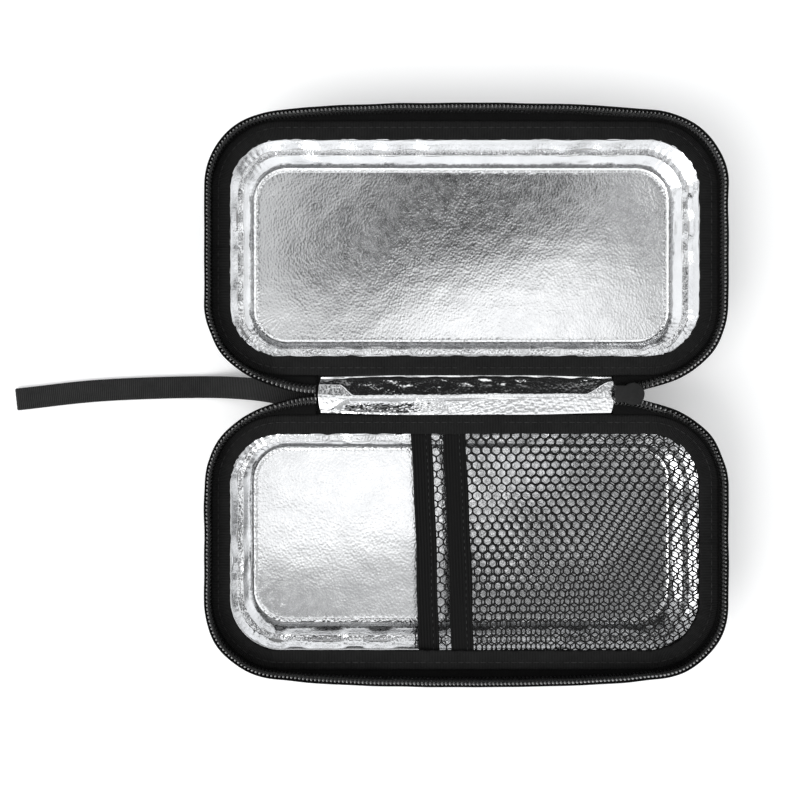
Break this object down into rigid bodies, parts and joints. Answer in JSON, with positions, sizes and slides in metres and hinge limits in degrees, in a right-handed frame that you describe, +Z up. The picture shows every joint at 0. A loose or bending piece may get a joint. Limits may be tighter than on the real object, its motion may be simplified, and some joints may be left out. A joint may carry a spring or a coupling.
{
  "type": "insulin cooling case",
  "caption": "Zipped clamshell cooling case lying open, with foil lined insulated trays, net pockets with elastic edges, a soft hinge strip, a slider with pull tab and a wrist strap.",
  "frame": {"origin": "centre of the base half's flat underside, on the table", "axes": "+X along the case, to the slider's end; +Y from the base over the hinge to the lid; +Z up"},
  "size_m": [0.2824, 0.2219, 0.034],
  "materials": {
    "cover_fabric": "matte",
    "insulation": "matte",
    "foil": "satin",
    "binding_ribbon": "matte",
    "zipper_tape": "matte",
    "zipper_coil": "satin",
    "net": "matte",
    "elastic": "matte",
    "slider_metal": "satin",
    "strap_webbing": "matte"
  },
  "bodies": {
    "base": {"base_outer_cover": "cover_fabric", "base_insulation_foam": "insulation", "base_foil_liner": "foil", "base_rim_binding": "binding_ribbon", "base_zipper_tape": "zipper_tape", "base_zipper_coil": "zipper_coil", "base_tape_end_left": "zipper_tape", "base_coil_end_left": "zipper_coil", "base_tape_end_right": "zipper_tape", "base_coil_end_right": "zipper_coil", "rear_net": "net", "front_net": "net", "rear_elastic_band": "elastic", "front_elastic_band": "elastic"},
    "hinge": {"hinge_outer_cover": "cover_fabric", "hinge_foam_strip": "insulation", "hinge_foil_strip": "foil", "wrist_strap_root": "strap_webbing"},
    "lid": {"lid_outer_cover": "cover_fabric", "lid_insulation_foam": "insulation", "lid_foil_liner": "foil", "lid_rim_binding": "binding_ribbon", "lid_zipper_tape": "zipper_tape", "lid_zipper_coil": "zipper_coil", "lid_tape_end_left": "zipper_tape", "lid_coil_end_left": "zipper_coil", "lid_tape_end_right": "zipper_tape", "lid_coil_end_right": "zipper_coil"},
    "slider": {"zipper_slider": "slider_metal"},
    "pull_tab": {"zipper_pull_tab": "slider_metal"},
    "strap": {"wrist_strap": "strap_webbing"}
  },
  "joints": [
    {"name": "base_fold", "type": "hinge", "parent": "base", "child": "hinge", "pos_m": [0, 0.04875, 0.026], "axis": [1, 0, 0], "range_deg": [0, 90], "deforming": ["base_tape_end_left", "base_coil_end_left", "base_tape_end_right", "base_coil_end_right"]},
    {"name": "lid_fold", "type": "hinge", "parent": "hinge", "child": "lid", "pos_m": [0, 0.06475, 0.026], "axis": [1, 0, 0], "range_deg": [0, 90], "deforming": ["lid_tape_end_left", "lid_coil_end_left", "lid_tape_end_right", "lid_coil_end_right"]},
    {"name": "slider_travel", "type": "slide", "parent": "hinge", "child": "slider", "axis": [1, 0, 0], "range_m": [0, 0.007]},
    {"name": "pull_tab_swing", "type": "hinge", "parent": "slider", "child": "pull_tab", "pos_m": [0.06317, 0.05675, 0.02305], "axis": [0, -1, 0], "range_deg": [-70, 85]},
    {"name": "strap_lift", "type": "hinge", "parent": "hinge", "child": "strap", "pos_m": [-0.05922, 0.05675, 0.02098], "axis": [0, -1, 0], "range_deg": [-30, 0]}
  ],
  "couplings": [
    {"joint": "base_fold", "follows": "lid_fold", "ratio": 1}
  ]
}
